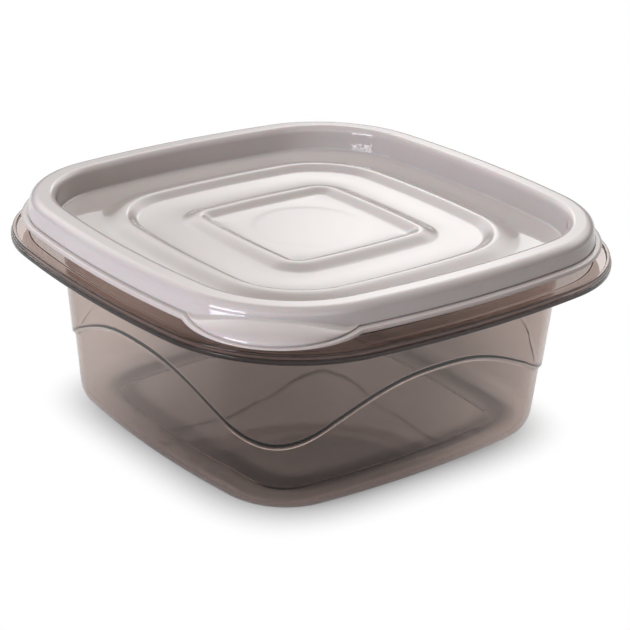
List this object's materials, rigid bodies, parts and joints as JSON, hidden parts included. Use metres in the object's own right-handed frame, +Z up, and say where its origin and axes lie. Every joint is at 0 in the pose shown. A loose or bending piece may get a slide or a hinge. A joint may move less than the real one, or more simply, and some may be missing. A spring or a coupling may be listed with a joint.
{
  "type": "square food storage container",
  "caption": "Square food storage container: a tapered see-through tub with a wave step and a ledge, closed by a press-on lid with a sunken ridged panel and a corner lift tab.",
  "frame": {"origin": "centre of the foot ring's plane, on the surface that the tub stands on", "axes": "+Z up, along the way that the lid lifts; the lid's lift tab points to +X -Y"},
  "size_m": [0.17, 0.17, 0.074],
  "materials": {
    "tub_plastic": "smoky see-through gloss",
    "lid_plastic": "satin gloss"
  },
  "bodies": {
    "tub": {"tub": "tub_plastic"},
    "lid": {"lid": "lid_plastic"}
  },
  "joints": [
    {"name": "lid_lift", "type": "slide", "parent": "tub", "child": "lid", "axis": [0, 0, 1], "range_m": [0, 0.05]}
  ]
}
